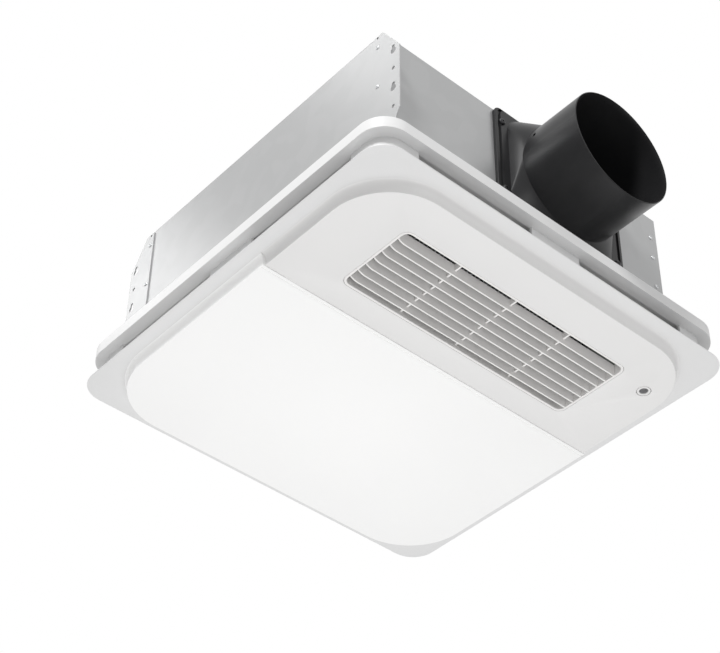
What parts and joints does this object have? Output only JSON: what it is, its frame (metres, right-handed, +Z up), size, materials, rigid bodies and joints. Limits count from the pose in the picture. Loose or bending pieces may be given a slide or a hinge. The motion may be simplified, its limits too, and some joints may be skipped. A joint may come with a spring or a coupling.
{
  "type": "bathroom exhaust fan heater",
  "caption": "Square ceiling fan with heater and light: sprung panel with diffuser and louvre vent, steel housing, hanger ears, blower and side duct adapter.",
  "frame": {"origin": "middle of the ceiling screw pattern, on the ceiling face", "axes": "+Z up into the ceiling, +X towards the duct outlet, +Y towards the side with the wiring compartment"},
  "size_m": [0.3844, 0.35, 0.169],
  "materials": {
    "galvanised": "satin",
    "zinc": "satin",
    "white_plastic": "satin",
    "opal_plastic": "satin",
    "black_plastic": "satin",
    "grey_plastic": "matte",
    "aluminium": "satin",
    "brass": "satin",
    "board_green": "matte",
    "motor_black": "satin",
    "ground_green": "satin",
    "emitter_yellow": "matte",
    "lens_dark": "gloss"
  },
  "bodies": {
    "casing": {"housing_lid": "galvanised", "wall_front": "galvanised", "wall_back": "galvanised", "wall_duct": "galvanised", "wall_far": "galvanised", "hanger_ear_front_duct": "galvanised", "hanger_ear_front_far": "galvanised", "ear_rivets": "zinc", "seam_rivets": "zinc", "frame_ring": "white_plastic", "frame_screws": "zinc", "duct_adapter": "black_plastic", "adapter_screws": "zinc", "damper_post": "zinc", "scroll_casing": "galvanised", "inlet_plate": "galvanised", "inlet_screws": "zinc", "blower_motor": "motor_black", "motor_screws": "zinc", "air_box": "galvanised", "air_box_floor": "galvanised", "flap_bushes": "white_plastic", "flap_motor": "aluminium", "flap_motor_screws": "zinc", "heater_chute": "galvanised", "core_frame": "black_plastic", "heating_core": "aluminium", "heater_cutout": "black_plastic", "wiring_cover": "galvanised", "wiring_cover_screws": "zinc", "terminal_block": "white_plastic", "ground_screw": "ground_green", "cable_bush": "black_plastic", "control_box": "black_plastic", "motor_capacitor": "grey_plastic", "light_driver": "white_plastic", "spring_brackets": "galvanised"},
    "wheel": {"impeller": "black_plastic", "wheel_cup": "black_plastic", "motor_shaft": "zinc", "wheel_nut": "brass"},
    "mode_flap": {"mode_flap": "grey_plastic", "flap_shaft": "zinc"},
    "damper_front": {"damper_flap_front": "black_plastic"},
    "damper_back": {"damper_flap_back": "black_plastic"},
    "panel": {"panel_plate": "white_plastic", "light_diffuser": "opal_plastic", "vent_cover": "white_plastic", "louvre_grille": "white_plastic", "light_tray": "white_plastic", "led_board": "aluminium", "led_emitters": "emitter_yellow", "receiver_bezel": "white_plastic", "receiver_lens": "lens_dark", "receiver_board": "board_green", "panel_springs": "zinc", "spring_clips": "zinc", "panel_screws": "zinc"}
  },
  "joints": [
    {"name": "wheel_spin", "type": "hinge", "parent": "casing", "child": "wheel", "pos_m": [-0.042, -0.046, 0.06], "axis": [0, 0, -1], "continuous": true},
    {"name": "mode_flap_swing", "type": "hinge", "parent": "casing", "child": "mode_flap", "pos_m": [0.136, 0, 0.032], "axis": [0, 1, 0], "range_deg": [0, 85]},
    {"name": "damper_front_swing", "type": "hinge", "parent": "casing", "child": "damper_front", "pos_m": [0.157, 0.031, 0.0756], "axis": [0, 0, 1], "range_deg": [0, 75], "stiffness_Nm_per_rad": 0.002, "springref_deg": -11.46},
    {"name": "damper_back_swing", "type": "hinge", "parent": "casing", "child": "damper_back", "pos_m": [0.157, 0.031, 0.0756], "axis": [0, 0, -1], "range_deg": [0, 75], "stiffness_Nm_per_rad": 0.002, "springref_deg": -11.46},
    {"name": "panel_drop", "type": "slide", "parent": "casing", "child": "panel", "axis": [0, 0, -1], "range_m": [0, 0.04], "stiffness_N_per_m": 200, "springref_m": -0.12}
  ]
}
